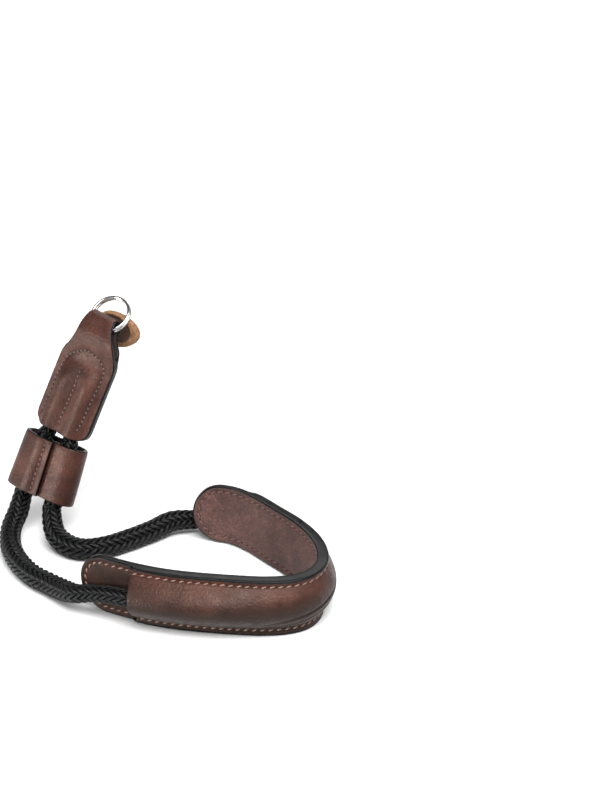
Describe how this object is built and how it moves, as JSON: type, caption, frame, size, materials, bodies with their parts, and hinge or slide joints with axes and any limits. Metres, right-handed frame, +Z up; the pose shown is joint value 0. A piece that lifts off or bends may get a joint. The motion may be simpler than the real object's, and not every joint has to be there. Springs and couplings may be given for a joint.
{
  "type": "camera wrist strap",
  "caption": "Wrist strap for a camera: split ring, folded leather head tab, plaited rope loop, rolled leather slider and a curved leather wrist pad",
  "frame": {"origin": "centre of the split ring", "axes": "+Z up from the surface the pad stands on, -Y towards the viewer of the picture, +X to the viewer's right"},
  "size_m": [0.1196, 0.1054, 0.0811],
  "materials": {
    "brown_leather": "smooth satin grain with black painted edges",
    "lining_leather": "soft matte grain",
    "raw_leather": "smooth face with raw fibrous edge",
    "plaited_cord": "tight round plait, slight sheen",
    "polished_steel": "polished round wire"
  },
  "bodies": {
    "strap": {"head_tab": "brown_leather", "rope": "plaited_cord", "pad_cover": "brown_leather", "pad_base": "brown_leather", "pad_lining": "lining_leather"},
    "slider": {"slider": "brown_leather"},
    "ring": {"split_ring": "polished_steel", "lug_guard": "raw_leather"}
  },
  "joints": [
    {"name": "slider_slide", "type": "slide", "parent": "strap", "child": "slider", "axis": [0.3241, 0.2953, 0.8987], "range_m": [-0.003, 0.0022]},
    {"name": "ring_swing", "type": "hinge", "parent": "strap", "child": "ring", "pos_m": [-0.00249, -0.00255, -0.00241], "axis": [0.7762, -0.6108, -0.1561], "range_deg": [-12, 12]}
  ]
}
